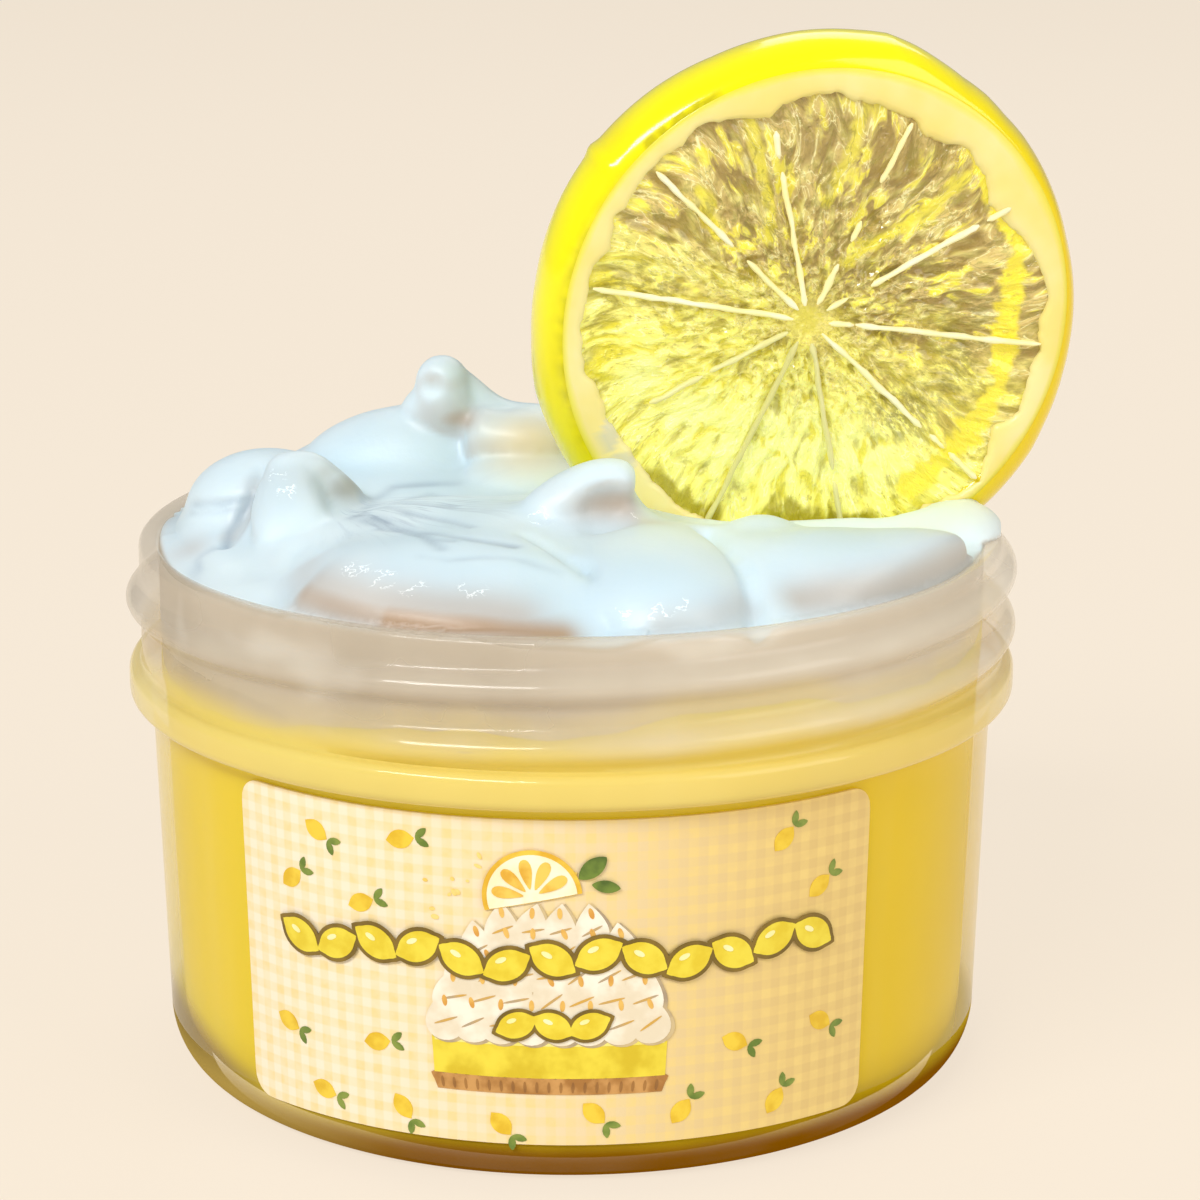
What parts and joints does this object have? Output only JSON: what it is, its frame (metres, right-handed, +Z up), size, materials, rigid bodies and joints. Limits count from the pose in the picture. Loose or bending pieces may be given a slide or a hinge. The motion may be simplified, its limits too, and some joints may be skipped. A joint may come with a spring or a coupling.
{
  "type": "jar of layered slime",
  "caption": "Clear screw-neck jar of layered slime, glossy yellow below and whipped white heaped over the rim, with a lemon slice charm standing in it and a printed sticker.",
  "frame": {"origin": "centre of the jar's flat base, on its axis", "axes": "+Z up along the jar's axis, -Y out of the front, where the sticker is, +X to the right seen from the front"},
  "size_m": [0.0943, 0.0886, 0.1023],
  "materials": {
    "jar_plastic": "milky see-through polypropylene, softly glossy",
    "sticker_paper": "smooth coated paper, printed",
    "yellow_slime": "wet, glossy and slightly see-through",
    "white_slime": "wet, softly glossy and opaque",
    "lemon_charm": "glossy moulded rind with clear tinted flesh"
  },
  "bodies": {
    "root": {"jar": "jar_plastic", "sticker": "sticker_paper", "yellow_slime": "yellow_slime", "white_slime": "white_slime", "lemon_slice": "lemon_charm"}
  },
  "joints": []
}
